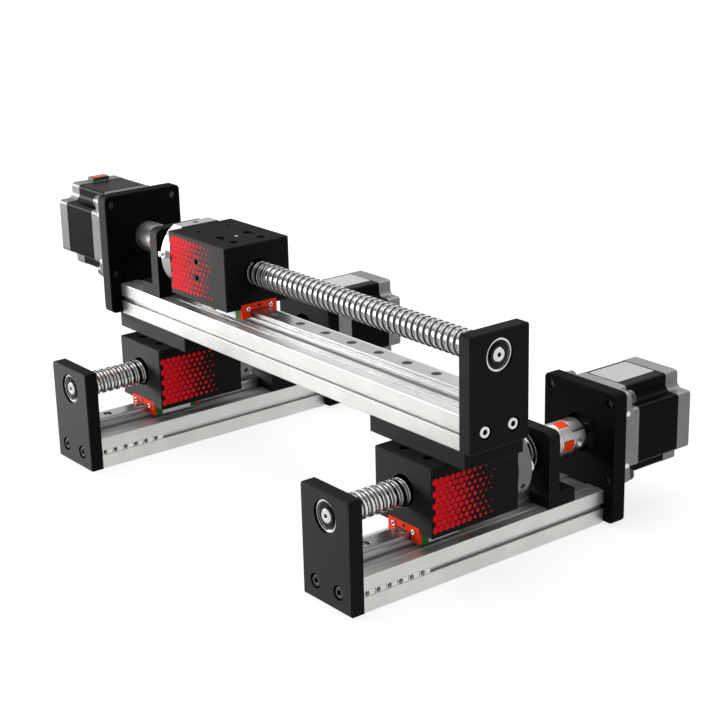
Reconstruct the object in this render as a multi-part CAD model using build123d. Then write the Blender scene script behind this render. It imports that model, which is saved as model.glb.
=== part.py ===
from build123d import *
import math
import os

# Two equal lower stages run along X, side by side, and carry one longer cross stage along Y.
# Each stage is drawn once in its own directions: x along the stage from the outer face of
# its end plate, y across it, z up from its underside. All sizes are in millimetres.

# Stage lengths
lower_profile_length = 178.0
upper_profile_length = 342.0

# Free way between each nut's flange and the bearing retainer, with the stages at rest
lower_rest_gap = 14.5
upper_rest_gap = 8.0

# How the stages stand to each other
stage_axis_distance = 270.0
bridge_offset_x = 1.5
bridge_overhang = 41.0
adapter_shift = 3.0

# Profile
profile_width = 42.0
profile_height = 21.0
profile_corner_radius = 0.8
slot_mouth = 3.4
slot_lip = 1.0
slot_cavity_width = 6.4
slot_cavity_depth = 1.5
slot_height = 10.9
seat_half_width = 8.0
seat_depth = 1.0
groove_offset = 14.0
groove_width = 1.6
groove_depth = 0.8
land_fall = 0.4
cut_margin = 1.0

# Guide rail and its runner block
rail_width = 12.0
rail_height = 8.0
rail_waist = 10.4
rail_groove_bottom = 4.0
rail_groove_top = 6.2
rail_groove_slope = 0.9
rail_edge = 0.4
rail_hole_pitch = 25.0
rail_first_hole = 16.5
rail_hole_radius = 1.75
rail_counterbore_radius = 3.0
rail_counterbore_depth = 4.5
rail_end_gap = 1.0
runner_width = 27.0
runner_height = 10.0
runner_lift = 3.0
runner_body_length = 21.7
runner_cap_length = 4.5
runner_seal_length = 2.0
runner_cap_inset = 0.2
runner_cap_chamfer = 0.8

# End plate
end_plate_thickness = 8.5
end_plate_above_axis = 14.0
plate_corner_radius = 2.0
plate_edge_chamfer = 0.5
axis_height = 51.0

# Motor plate
motor_plate_thickness = 9.0
motor_plate_width = 58.0
motor_plate_above_axis = 30.0
motor_plate_lift = 1.0
motor_plate_corner_radius = 3.5
motor_window_radius = 12.0

# Motor
motor_square = 56.4
motor_screw_square = 47.14
motor_corner_radius = 4.5
motor_notch = 10.5
motor_notch_radius = 4.0
motor_notch_edge_radius = 2.2
flange_plate_thickness = 5.0
flange_length = 11.5
stack_length = 33.5
stack_inset = 0.25
rear_cap_length = 11.0
rear_cap_edge = 0.8
pilot_radius = 19.05
pilot_length = 1.6
motor_shaft_radius = 3.175
motor_shaft_reach = 21.5
motor_shaft_inside = 9.0

# Screw, nut and bearings
screw_radius = 8.0
nut_body_radius = 14.0
nut_body_length = 40.0
nut_flange_radius = 24.0
nut_flange_flat = 20.0
nut_flange_length = 10.0
nut_bolt_circle_radius = 19.0
nut_bolt_radius = 2.75
nut_bolt_turn = 45.0
nut_port_radius = 2.0
nut_port_depth = 4.0
journal_radius = 4.0
collar_radius = 5.5
support_bearing_radius = 9.5
support_bearing_length = 6.0
support_bearing_set_in = 1.0
fixed_bearing_radius = 11.0
fixed_bearing_length = 7.0
bearing_shield_depth = 0.4
bearing_ring_wall = 1.6
retainer_radius = 12.5
retainer_bore_radius = 8.5
retainer_thickness = 2.0

# Bearing bracket
bracket_wall = 8.0
bracket_foot = 12.3
bracket_foot_height = 8.0
bracket_above_axis = 15.5
lower_bracket_distance = 44.0
upper_bracket_distance = 49.0
bracket_corner_radius = 5.0

# Coupling
coupling_radius = 10.0
coupling_hub_length = 9.0
upper_motor_hub_length = 17.0
coupling_jaw_length = 8.0
coupling_gap_to_plate = 4.4
coupling_turn = 11.0
jaw_angle = 46.0
jaws_per_hub = 2
jaw_root_radius = 5.0
clamp_slit = 1.0
clamp_hole_radius = 2.0
clamp_hole_offset = 6.6
clamp_turn = 43.0

# Nut block
nut_block_length = 63.0
nut_block_width = 48.0
nut_block_above_axis = 19.3
runner_pocket_depth = 3.2
nut_block_chamfer = 0.6
nut_entry_radius = 9.4
runner_bolt_spacing_x = 15.0
runner_bolt_spacing_y = 20.0
runner_counterbore_radius = 3.2
runner_counterbore_depth = 7.0
load_hole_radius = 1.65
load_hole_depth = 9.0
load_hole_start = 20.0
load_hole_spacing_x = 27.0
load_hole_spacing_y = 23.0
side_hole_radius = 1.65
side_hole_depth = 6.0
side_hole_position = 32.0
side_hole_low = 45.5
side_hole_spacing = 10.5

# Adapter plates between the lower nut blocks and the cross stage
adapter_length = 80.0
adapter_thickness = 9.2

# Socket screws
screw_shank_radius = 2.0
screw_head_radius = 3.5
screw_head_height = 4.0
screw_socket = 3.0
screw_socket_depth = 2.0
screw_head_set_in = 0.4
screw_reach = 12.0
counterbore_radius = 4.4
frame_screw_spacing = 20.0
frame_screw_height = 10.5
bracket_screw_spacing = 20.0
bracket_screw_reach = 6.0
foot_screw_shank_reach = 6.0
motor_screw_radius = 2.5
motor_screw_head_radius = 4.25
motor_screw_head_height = 4.5
motor_screw_set_in = 0.6

# Slot nuts
slot_nut_count = 6
slot_nut_pitch = 7.6
slot_nut_length = 7.2
slot_nut_hole_radius = 1.5
slot_nut_hole_place = 2.0

# Plug socket of the upper motor
connector_length = 7.0
connector_width = 12.5
connector_height = 2.2
connector_wall = 1.2
connector_offset = -1.2
connector_set_back = 2.5

# Clearances
running_clearance = 0.05
sliding_clearance = 0.3
seat_clearance = 0.02
hole_clearance = 0.15
tip_clearance = 0.5

# Sizes that follow from the ones above
rail_base = profile_height - seat_depth
rail_top = rail_base + rail_height
rail_start = end_plate_thickness + rail_end_gap
runner_bottom = rail_base + runner_lift
runner_top = runner_bottom + runner_height
runner_length = runner_body_length + 2 * (runner_cap_length + runner_seal_length)
nut_block_bottom = runner_top - runner_pocket_depth
nut_block_top = axis_height + nut_block_above_axis
end_plate_height = axis_height + end_plate_above_axis
motor_plate_height = axis_height + motor_plate_above_axis - motor_plate_lift
bracket_top = axis_height + bracket_above_axis
bridge_height = nut_block_top + adapter_thickness
motor_length = flange_length + stack_length + rear_cap_length
lower_motor_plate_start = end_plate_thickness + lower_profile_length
upper_motor_plate_start = end_plate_thickness + upper_profile_length
lower_stage_length = lower_motor_plate_start + motor_plate_thickness + motor_length
upper_stage_length = upper_motor_plate_start + motor_plate_thickness + motor_length
lower_bracket_start = lower_motor_plate_start - lower_bracket_distance
upper_bracket_start = upper_motor_plate_start - upper_bracket_distance
carriage_reach = nut_block_length + nut_flange_length + retainer_thickness
lower_carriage_start = lower_bracket_start - carriage_reach - lower_rest_gap
upper_carriage_start = upper_bracket_start - carriage_reach - upper_rest_gap
lower_carriage_middle = lower_carriage_start + nut_block_length / 2

# The origin is under the middle of the whole gantry, on the plane the lower stages stand on
origin_x = lower_stage_length / 2
origin_y = upper_stage_length / 2 - bridge_overhang
right_stage = Location((-origin_x, -origin_y, 0))
left_stage = Location((-origin_x, stage_axis_distance - origin_y, 0))
cross_stage = Location(
    (lower_carriage_middle + bridge_offset_x - origin_x, -bridge_overhang - origin_y, bridge_height),
    (0, 0, 90),
)


def block(x0, x1, y0, y1, z0, z1):
    # a plain box between two corners
    size = Box(x1 - x0, y1 - y0, z1 - z0)
    return Pos((x0 + x1) / 2, (y0 + y1) / 2, (z0 + z1) / 2) * size


def rod(x, y, z, radius, length):
    # a round bar along the stage, starting at x
    return Pos(x + length / 2, y, z) * (Rot(0, 90, 0) * Cylinder(radius, length))


def upright(x, y, z, radius, length):
    # a round bar standing up from z
    return Pos(x, y, z + length / 2) * Cylinder(radius, length)


def crosswise(x, y, z, radius, length):
    # a round bar across the stage, from y towards +y
    return Pos(x, y + length / 2, z) * (Rot(90, 0, 0) * Cylinder(radius, length))


def along_stage(outline, start, length):
    # an outline in the y-z plane carried along the stage
    return Pos(start, 0, 0) * extrude(Plane.YZ * outline, length)


def pairs(half_x, half_y):
    return [(sx * half_x, sy * half_y) for sx in (-1, 1) for sy in (-1, 1)]


def socket_screw(head_radius, head_height, shank_radius, shank_length):
    # stands on z = 0 with the head's top at +z and the shank below
    head = Pos(0, 0, head_height / 2) * Cylinder(head_radius, head_height)
    shank = Pos(0, 0, -shank_length / 2) * Cylinder(shank_radius, shank_length)
    hexagon = RegularPolygon(screw_socket / math.sqrt(3), 6)
    socket = Pos(0, 0, head_height - screw_socket_depth) * extrude(hexagon, screw_socket_depth)
    return head + shank - socket


def motor_plate_start(profile_length):
    return end_plate_thickness + profile_length


def bracket_start(profile_length):
    # the cross stage leaves more room between its bracket and its motor
    return upper_bracket_start if profile_length == upper_profile_length else lower_bracket_start


def profile(length):
    half = profile_width / 2
    outline = Pos(0, profile_height / 2) * RectangleRounded(
        profile_width, profile_height, profile_corner_radius
    )
    depth = slot_lip + slot_cavity_depth
    mouth = Rectangle(2 * depth, slot_mouth)
    cavity = Pos(depth - slot_cavity_depth / 2, 0) * Rectangle(slot_cavity_depth, slot_cavity_width)
    slot = mouth + cavity
    outline -= Pos(-half, slot_height) * slot
    outline -= Pos(half, slot_height) * (Rot(0, 0, 180) * slot)
    outline -= Rot(0, 0, 90) * slot
    outline -= Pos(0, profile_height - seat_depth / 2) * Rectangle(2 * seat_half_width, seat_depth)
    for side in (-1, 1):
        outline -= Pos(side * groove_offset, profile_height - groove_depth / 2) * Rectangle(
            groove_width, groove_depth
        )
        groove_edge = groove_offset + groove_width / 2
        beyond = half + cut_margin
        above = profile_height + cut_margin
        outline -= Polygon(
            (side * groove_edge, profile_height),
            (side * beyond, profile_height - land_fall),
            (side * beyond, above),
            (side * groove_edge, above),
            align=None,
        )
    body = along_stage(outline, end_plate_thickness, length)
    far_end = end_plate_thickness + length
    for side in (-1, 1):
        y = side * frame_screw_spacing / 2
        core = screw_shank_radius + hole_clearance
        depth = screw_reach + tip_clearance
        body -= rod(end_plate_thickness, y, frame_screw_height, core, depth)
        body -= rod(far_end - depth, y, frame_screw_height, core, depth)
    foot_x = bracket_foot_screw_x(length)
    for side in (-1, 1):
        y = side * bracket_screw_spacing / 2
        hole_depth = bracket_screw_reach + tip_clearance
        body -= upright(
            foot_x, y, profile_height - hole_depth, screw_shank_radius + hole_clearance, hole_depth
        )
    return body


def bracket_foot_screw_x(length):
    return bracket_start(length) + bracket_wall + bracket_foot / 2


def rail_length(length):
    return bracket_start(length) - rail_end_gap - rail_start


def rail(length):
    half = rail_width / 2
    waist = rail_waist / 2
    right_side = [
        (half, 0),
        (half, rail_groove_bottom),
        (waist, rail_groove_bottom + rail_groove_slope),
        (waist, rail_groove_top - rail_groove_slope),
        (half, rail_groove_top),
        (half, rail_height - rail_edge),
        (half - rail_edge, rail_height),
    ]
    left_side = [(-x, z) for x, z in reversed(right_side)]
    outline = Polygon(*right_side, *left_side, align=None)
    body = Pos(0, 0, rail_base) * along_stage(outline, rail_start, rail_length(length))
    hole_room = rail_length(length) - rail_first_hole - rail_counterbore_radius
    hole_count = int(hole_room // rail_hole_pitch) + 1
    for number in range(hole_count):
        x = rail_start + rail_first_hole + number * rail_hole_pitch
        body -= upright(x, 0, rail_base, rail_hole_radius, rail_height)
        body -= upright(
            x, 0, rail_top - rail_counterbore_depth, rail_counterbore_radius, rail_counterbore_depth
        )
    return body


def runner_outline(inset):
    # the saddle shape that straddles the rail
    half = runner_width / 2 - inset
    outer = Pos(0, (runner_bottom + runner_top) / 2) * Rectangle(
        2 * half, runner_height - 2 * inset
    )
    channel_top = rail_top + sliding_clearance
    channel = Pos(0, (rail_base + channel_top) / 2) * Rectangle(
        rail_width + 2 * sliding_clearance, channel_top - rail_base
    )
    return outer - channel


def runner_body(start):
    x = start + runner_seal_length + runner_cap_length
    return along_stage(runner_outline(0), x, runner_body_length)


def runner_caps(start):
    near = start + runner_seal_length
    far = near + runner_cap_length + runner_body_length
    outline = runner_outline(runner_cap_inset)
    return [along_stage(outline, x, runner_cap_length) for x in (near, far)]


def runner_seals(start):
    far = start + runner_length - runner_seal_length
    outline = runner_outline(2 * runner_cap_inset)
    return [along_stage(outline, x, runner_seal_length) for x in (start, far)]


def end_plate():
    outline = Pos(0, end_plate_height / 2) * Rectangle(profile_width, end_plate_height)
    plate = along_stage(outline, 0, end_plate_thickness)
    top_corners = plate.edges().filter_by(Axis.X).group_by(Axis.Z)[-1]
    plate = fillet(top_corners, plate_corner_radius)
    outer_edges = plate.faces().sort_by(Axis.X)[0].edges()
    plate = chamfer(outer_edges, plate_edge_chamfer)
    pocket = support_bearing_set_in + support_bearing_length
    plate -= rod(0, 0, axis_height, support_bearing_radius + seat_clearance, pocket)
    plate -= rod(0, 0, axis_height, support_bearing_radius - bearing_ring_wall, end_plate_thickness)
    for side in (-1, 1):
        y = side * frame_screw_spacing / 2
        head_room = screw_head_set_in + screw_head_height
        plate -= rod(0, y, frame_screw_height, counterbore_radius, head_room)
        plate -= rod(0, y, frame_screw_height, screw_shank_radius + hole_clearance, end_plate_thickness)
    return plate


def motor_plate(length):
    start = motor_plate_start(length)
    outline = Pos(0, motor_plate_lift + motor_plate_height / 2) * RectangleRounded(
        motor_plate_width, motor_plate_height, motor_plate_corner_radius
    )
    plate = along_stage(outline, start, motor_plate_thickness)
    front_edges = plate.faces().sort_by(Axis.X)[0].edges()
    plate = chamfer(front_edges, plate_edge_chamfer)
    back = start + motor_plate_thickness
    plate -= rod(start, 0, axis_height, motor_window_radius, motor_plate_thickness)
    pilot_depth = pilot_length + tip_clearance
    plate -= rod(back - pilot_depth, 0, axis_height, pilot_radius + hole_clearance, pilot_depth)
    for y, z in pairs(motor_screw_square / 2, motor_screw_square / 2):
        plate -= rod(start, y, axis_height + z, motor_screw_radius + hole_clearance, motor_plate_thickness)
    head_room = screw_head_set_in + screw_head_height
    hole_radius = screw_shank_radius + hole_clearance
    for side in (-1, 1):
        y = side * frame_screw_spacing / 2
        plate -= rod(start, y, frame_screw_height, hole_radius, motor_plate_thickness)
        plate -= rod(back - head_room, y, frame_screw_height, counterbore_radius, head_room)
    return plate


def notched_square(size):
    # a rounded notch takes each corner away, and its own two corners are rounded as well
    square = Rectangle(size, size)
    for y, z in pairs(motor_square / 2, motor_square / 2):
        notch = Pos(y, z) * RectangleRounded(2 * motor_notch, 2 * motor_notch, motor_notch_radius)
        square -= notch
    reach = (size - motor_notch_edge_radius) / 2
    outer = [corner for corner in square.vertices() if max(abs(corner.X), abs(corner.Y)) > reach]
    square = fillet(outer, motor_notch_edge_radius)
    return Pos(0, axis_height) * square


def motor_flange(length):
    start = motor_plate_start(length) + motor_plate_thickness
    front = Pos(0, axis_height) * RectangleRounded(motor_square, motor_square, motor_corner_radius)
    body = along_stage(front, start, flange_plate_thickness)
    body += along_stage(notched_square(motor_square), start, flange_length)
    body += rod(start - pilot_length, 0, axis_height, pilot_radius, pilot_length)
    bore_length = pilot_length + motor_shaft_inside + tip_clearance
    bore_radius = motor_shaft_radius + running_clearance
    body -= rod(start - pilot_length, 0, axis_height, bore_radius, bore_length)
    for y, z in pairs(motor_screw_square / 2, motor_screw_square / 2):
        body -= rod(start, y, axis_height + z, motor_screw_radius + hole_clearance, flange_plate_thickness)
    return body


def motor_stack(length):
    start = motor_plate_start(length) + motor_plate_thickness + flange_length
    return along_stage(notched_square(motor_square - 2 * stack_inset), start, stack_length)


def motor_rear_cap(length):
    start = motor_plate_start(length) + motor_plate_thickness + flange_length + stack_length
    cap = along_stage(notched_square(motor_square), start, rear_cap_length)
    rear_edges = cap.faces().sort_by(Axis.X)[-1].edges()
    return chamfer(rear_edges, rear_cap_edge)


def motor_shaft(length):
    back = motor_plate_start(length) + motor_plate_thickness
    start = back - motor_shaft_reach
    return rod(start, 0, axis_height, motor_shaft_radius, motor_shaft_reach + motor_shaft_inside)


def bearing_bracket(length):
    start = bracket_start(length)
    half = profile_width / 2
    wall = block(start, start + bracket_wall, -half, half, profile_height, bracket_top)
    top_corners = wall.edges().filter_by(Axis.X).group_by(Axis.Z)[-1]
    wall = fillet(top_corners, bracket_corner_radius)
    foot_top = profile_height + bracket_foot_height
    foot_end = start + bracket_wall + bracket_foot
    bracket = wall + block(start + bracket_wall, foot_end, -half, half, profile_height, foot_top)
    bracket -= rod(start, 0, axis_height, fixed_bearing_radius + seat_clearance, fixed_bearing_length)
    bracket -= rod(start, 0, axis_height, fixed_bearing_radius - bearing_ring_wall, bracket_wall)
    head_room = screw_head_set_in + screw_head_height
    for side in (-1, 1):
        x = bracket_foot_screw_x(length)
        y = side * bracket_screw_spacing / 2
        bracket -= upright(x, y, profile_height, screw_shank_radius + hole_clearance, bracket_foot_height)
        bracket -= upright(x, y, foot_top - head_room, counterbore_radius, head_room)
    return bracket


def bearing_retainer(length):
    start = bracket_start(length) - retainer_thickness
    ring = rod(start, 0, axis_height, retainer_radius, retainer_thickness)
    return ring - rod(start, 0, axis_height, retainer_bore_radius, retainer_thickness)


def bearing(start, radius, width):
    # outer and inner ring with the shield set back between them
    ring = rod(start, 0, axis_height, radius, width)
    inner_wall = journal_radius + bearing_ring_wall
    for x in (start, start + width - bearing_shield_depth):
        shield = rod(x, 0, axis_height, radius - bearing_ring_wall, bearing_shield_depth)
        shield -= rod(x, 0, axis_height, inner_wall, bearing_shield_depth)
        ring -= shield
    return ring - rod(start, 0, axis_height, journal_radius + running_clearance, width)


def screw_bearings(length):
    support = bearing(support_bearing_set_in, support_bearing_radius, support_bearing_length)
    fixed = bearing(bracket_start(length), fixed_bearing_radius, fixed_bearing_length)
    return [support, fixed]


def motor_hub_length(profile_length):
    # the cross stage's coupling has a longer hub on its motor's side
    return upper_motor_hub_length if profile_length == upper_profile_length else coupling_hub_length


def coupling_start(length):
    coupling_end = motor_plate_start(length) - coupling_gap_to_plate
    return coupling_end - motor_hub_length(length) - coupling_jaw_length - coupling_hub_length


def ball_screw(length):
    thread_start = end_plate_thickness + sliding_clearance
    thread_end = bracket_start(length) - retainer_thickness - sliding_clearance
    tail_end = coupling_start(length) + coupling_hub_length
    collar_end = bracket_start(length) - sliding_clearance / 2
    body = rod(thread_start, 0, axis_height, screw_radius, thread_end - thread_start)
    body += rod(tip_clearance, 0, axis_height, journal_radius, thread_start - tip_clearance)
    body += rod(thread_end, 0, axis_height, collar_radius, collar_end - thread_end)
    body += rod(collar_end, 0, axis_height, journal_radius, tail_end - collar_end)
    return body


def ring_sector(inner, outer, angle, start, width):
    # a slice of a ring around the screw's axis, centred on straight up
    half_angle = math.radians(angle / 2)
    reach = 2 * outer
    wedge = Polygon(
        (0, 0),
        (reach * math.sin(half_angle), reach * math.cos(half_angle)),
        (-reach * math.sin(half_angle), reach * math.cos(half_angle)),
        align=None,
    )
    slice_outline = (Circle(outer) - Circle(inner)) & wedge
    return along_stage(slice_outline, start, width)


def around_axis(shape, angle):
    return Pos(0, 0, axis_height) * (Rot(angle, 0, 0) * shape)


def clamp_hub(start, hub_length, bore, toward):
    # the jaws stand out of the face that looks toward the other hub
    hub = along_stage(Circle(coupling_radius) - Circle(bore), start, hub_length)
    end = start + hub_length
    slit = block(start, end, -clamp_slit / 2, clamp_slit / 2, bore / 2, coupling_radius)
    from_end = coupling_hub_length / 2
    middle = start + from_end if toward > 0 else end - from_end
    hole = crosswise(middle, -coupling_radius, clamp_hole_offset, clamp_hole_radius, coupling_radius)
    hub -= Rot(clamp_turn, 0, 0) * (slit + hole)
    jaw_length = coupling_jaw_length - sliding_clearance
    jaw_start = end if toward > 0 else start - jaw_length
    for number in range(jaws_per_hub):
        jaw = ring_sector(jaw_root_radius, coupling_radius, jaw_angle, jaw_start, jaw_length)
        hub += Rot(jaw_step() * (2 * number + 0.5), 0, 0) * jaw
    return hub


def jaw_step():
    # from one jaw to the next jaw of the other hub
    return 180 / jaws_per_hub


def coupling_hubs(length):
    start = coupling_start(length)
    screw_hub = clamp_hub(start, coupling_hub_length, journal_radius + seat_clearance, 1)
    motor_bore = motor_shaft_radius + seat_clearance
    motor_hub_start = start + coupling_hub_length + coupling_jaw_length
    motor_hub = clamp_hub(motor_hub_start, motor_hub_length(length), motor_bore, -1)
    return [
        around_axis(screw_hub, coupling_turn + jaw_step()),
        around_axis(motor_hub, coupling_turn),
    ]


def coupling_spider(length):
    near = coupling_start(length) + coupling_hub_length
    arm_angle = jaw_step() - jaw_angle
    centre_radius = jaw_root_radius - seat_clearance
    arm_root = centre_radius - hole_clearance
    arm_tip = coupling_radius - hole_clearance
    spider = along_stage(Circle(centre_radius), near, coupling_jaw_length)
    for number in range(2 * jaws_per_hub):
        arm = ring_sector(arm_root, arm_tip, arm_angle, near, coupling_jaw_length)
        spider += Rot(jaw_step() * number, 0, 0) * arm
    return around_axis(spider, coupling_turn)


def nut_block(start):
    half = nut_block_width / 2
    end = start + nut_block_length
    body = block(start, end, -half, half, nut_block_bottom, nut_block_top)
    body = chamfer(body.edges(), nut_block_chamfer)
    pocket_half = runner_width / 2 + hole_clearance
    pocket_end = start + runner_length + tip_clearance
    body -= block(start, pocket_end, -pocket_half, pocket_half, nut_block_bottom, runner_top)
    body -= rod(start, 0, axis_height, nut_entry_radius, nut_block_length)
    nut_room = nut_body_length + tip_clearance
    body -= rod(end - nut_room, 0, axis_height, nut_body_radius + seat_clearance, nut_room)
    runner_middle = start + runner_length / 2
    for dx, dy in pairs(runner_bolt_spacing_x / 2, runner_bolt_spacing_y / 2):
        depth = runner_counterbore_depth
        body -= upright(runner_middle + dx, dy, nut_block_top - depth, runner_counterbore_radius, depth)
    for x, y in load_holes(start):
        body -= upright(x, y, nut_block_top - load_hole_depth, load_hole_radius, load_hole_depth)
    for level in (0, 1):
        z = side_hole_low + level * side_hole_spacing
        y = half - side_hole_depth
        body -= crosswise(start + side_hole_position, y, z, side_hole_radius, side_hole_depth)
    return body


def load_holes(start):
    first = start + load_hole_start
    second = first + load_hole_spacing_x
    half = load_hole_spacing_y / 2
    return [(x, y) for x in (first, second) for y in (-half, half)]


def ball_nut(start):
    face = start + nut_block_length
    body = rod(face - nut_body_length, 0, axis_height, nut_body_radius, nut_body_length)
    flats = Rectangle(2 * nut_flange_radius, 2 * nut_flange_flat)
    flange_outline = Pos(0, axis_height) * (Circle(nut_flange_radius) & flats)
    flange = along_stage(flange_outline, face, nut_flange_length)
    for side in (-1, 1):
        for step in (-1, 0, 1):
            angle = math.radians(step * nut_bolt_turn)
            y = side * nut_bolt_circle_radius * math.cos(angle)
            z = axis_height + nut_bolt_circle_radius * math.sin(angle)
            flange -= rod(face, y, z, nut_bolt_radius, nut_flange_length)
    port_x = face + nut_flange_length / 2
    port_bottom = axis_height + nut_flange_flat - nut_port_depth
    flange -= upright(port_x, 0, port_bottom, nut_port_radius, nut_port_depth)
    nut = body + flange
    return nut - rod(
        face - nut_body_length,
        0,
        axis_height,
        screw_radius + running_clearance,
        nut_body_length + nut_flange_length,
    )


def adapter_plate():
    # drawn in the lower stage's directions, over its nut block
    middle = lower_carriage_middle + bridge_offset_x
    half_x = profile_width / 2
    y0 = adapter_shift - adapter_length / 2
    plate = block(middle - half_x, middle + half_x, y0, y0 + adapter_length, nut_block_top, bridge_height)
    plate = chamfer(plate.edges().filter_by(Axis.Z), plate_edge_chamfer)
    head_room = screw_head_set_in + screw_head_height
    for x, y in load_holes(lower_carriage_start):
        plate -= upright(x, y, nut_block_top, screw_shank_radius + hole_clearance, adapter_thickness)
        plate -= upright(x, y, bridge_height - head_room, counterbore_radius, head_room)
    for x, y in adapter_end_screws():
        plate -= upright(x, y, nut_block_top, screw_shank_radius + hole_clearance, adapter_thickness)
        plate -= upright(x, y, nut_block_top, counterbore_radius, head_room)
    return plate


def adapter_end_screws():
    # halfway over the ledges that stand out on either side of the nut block
    middle = lower_carriage_middle + bridge_offset_x
    block_side = nut_block_width / 2
    near_end = end_plate_thickness - bridge_overhang
    far_end = adapter_shift + adapter_length / 2
    return [(middle, (near_end - block_side) / 2), (middle, (far_end + block_side) / 2)]


def adapter_screws():
    group = []
    head_seat = bridge_height - screw_head_set_in - screw_head_height
    downward = head_seat - nut_block_top + load_hole_depth - tip_clearance
    tapped_radius = load_hole_radius - seat_clearance
    for x, y in load_holes(lower_carriage_start):
        screw = socket_screw(screw_head_radius, screw_head_height, tapped_radius, downward)
        group.append(Pos(x, y, head_seat) * screw)
    upward_seat = nut_block_top + screw_head_set_in + screw_head_height
    upward = bridge_height - upward_seat + slot_lip
    for x, y in adapter_end_screws():
        screw = socket_screw(screw_head_radius, screw_head_height, tapped_radius, upward)
        group.append(Pos(x, y, upward_seat) * (Rot(180, 0, 0) * screw))
    return group


def frame_screws(length):
    group = []
    half = frame_screw_spacing / 2
    head_room = screw_head_set_in + screw_head_height
    reach = end_plate_thickness - head_room + screw_reach
    back_reach = motor_plate_thickness - head_room + screw_reach
    motor_side = motor_plate_start(length) + motor_plate_thickness
    foot_top = profile_height + bracket_foot_height
    foot_reach = bracket_foot_height - head_room + bracket_screw_reach
    for side in (-1, 1):
        front = socket_screw(screw_head_radius, screw_head_height, screw_shank_radius, reach)
        group.append(Pos(head_room, side * half, frame_screw_height) * (Rot(0, -90, 0) * front))
        back = socket_screw(screw_head_radius, screw_head_height, screw_shank_radius, back_reach)
        group.append(Pos(motor_side - head_room, side * half, frame_screw_height) * (Rot(0, 90, 0) * back))
        foot = socket_screw(screw_head_radius, screw_head_height, screw_shank_radius, foot_reach)
        y = side * bracket_screw_spacing / 2
        group.append(Pos(bracket_foot_screw_x(length), y, foot_top - head_room) * foot)
    return group


def motor_screws(length):
    group = []
    seat = motor_plate_start(length) + motor_plate_thickness + flange_plate_thickness
    reach = motor_plate_thickness + flange_plate_thickness - motor_screw_set_in
    for y, z in pairs(motor_screw_square / 2, motor_screw_square / 2):
        screw = socket_screw(
            motor_screw_head_radius, motor_screw_head_height, motor_screw_radius, reach
        )
        group.append(Pos(seat, y, axis_height + z) * (Rot(0, 90, 0) * screw))
    return group


def slot_nuts():
    group = []
    half = profile_width / 2
    body_height = slot_cavity_width - 2 * hole_clearance
    neck_height = slot_mouth - 2 * hole_clearance
    first = end_plate_thickness + sliding_clearance
    for number in range(slot_nut_count):
        x0 = first + number * slot_nut_pitch
        x1 = x0 + slot_nut_length
        hole_x = x0 + slot_nut_hole_place
        inner = -half + slot_lip + slot_cavity_depth
        body_bottom = slot_height - body_height / 2
        neck_bottom = slot_height - neck_height / 2
        body = block(x0, x1, -half + slot_lip, inner, body_bottom, body_bottom + body_height)
        neck = block(x0, x1, -half + hole_clearance, inner, neck_bottom, neck_bottom + neck_height)
        hole = crosswise(hole_x, -half, slot_height, slot_nut_hole_radius, slot_lip + slot_cavity_depth)
        group.append(body + neck - hole)
    return group


def motor_connector(length):
    cap_start = motor_plate_start(length) + motor_plate_thickness + flange_length + stack_length
    x0 = cap_start + connector_set_back
    y0 = connector_offset - connector_width / 2
    base = axis_height + motor_square / 2
    shell = block(x0, x0 + connector_length, y0, y0 + connector_width, base, base + connector_height)
    room = block(
        x0 + connector_wall,
        x0 + connector_length - connector_wall,
        y0 + connector_wall,
        y0 + connector_width - connector_wall,
        base + connector_wall,
        base + connector_height,
    )
    return shell - room


def save(node, pieces):
    if not isinstance(pieces, list):
        pieces = [pieces]
    shape = pieces[0] if len(pieces) == 1 else Compound(children=pieces)
    export_step(shape, f"parts/{node}.step")
    print(node, len(pieces))


def placed(stage, pieces):
    if not isinstance(pieces, list):
        pieces = [pieces]
    return [stage * piece for piece in pieces]


def on_both(pieces):
    return placed(right_stage, pieces) + placed(left_stage, pieces)


def save_stage(prefix, stage, length, start):
    # the pieces that every stage has of its own
    save(prefix + "_profile", placed(stage, profile(length)))
    save(prefix + "_rail", placed(stage, rail(length)))
    save(prefix + "_end_plate", placed(stage, end_plate()))
    save(prefix + "_motor_plate", placed(stage, motor_plate(length)))
    save(prefix + "_bearing_bracket", placed(stage, bearing_bracket(length)))
    save(prefix + "_motor_flange", placed(stage, motor_flange(length)))
    save(prefix + "_motor_stack", placed(stage, motor_stack(length)))
    save(prefix + "_motor_rear_cap", placed(stage, motor_rear_cap(length)))
    save(prefix + "_motor_shaft", placed(stage, motor_shaft(length)))
    save(prefix + "_ball_screw", placed(stage, ball_screw(length)))
    save(prefix + "_coupling_hubs", placed(stage, coupling_hubs(length)))
    save(prefix + "_coupling_spider", placed(stage, coupling_spider(length)))
    save(prefix + "_nut_block", placed(stage, nut_block(start)))


os.makedirs("parts", exist_ok=True)

lower = lower_profile_length
upper = upper_profile_length
save_stage("x_right", right_stage, lower, lower_carriage_start)
save_stage("x_left", left_stage, lower, lower_carriage_start)
save_stage("y", cross_stage, upper, upper_carriage_start)

save("x_ball_nuts", on_both(ball_nut(lower_carriage_start)))
save("x_guide_blocks", on_both(runner_body(lower_carriage_start)))
save("x_guide_end_caps", on_both(runner_caps(lower_carriage_start)))
save("x_guide_end_seals", on_both(runner_seals(lower_carriage_start)))
save("x_screw_bearings", on_both(screw_bearings(lower)))
save("x_bearing_retainers", on_both(bearing_retainer(lower)))
save("x_frame_screws", on_both(frame_screws(lower)))
save("x_motor_screws", on_both(motor_screws(lower)))
save("x_slot_nuts", on_both(slot_nuts()))
save("x_adapter_plates", on_both(adapter_plate()))
save("x_adapter_screws", on_both(adapter_screws()))

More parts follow.
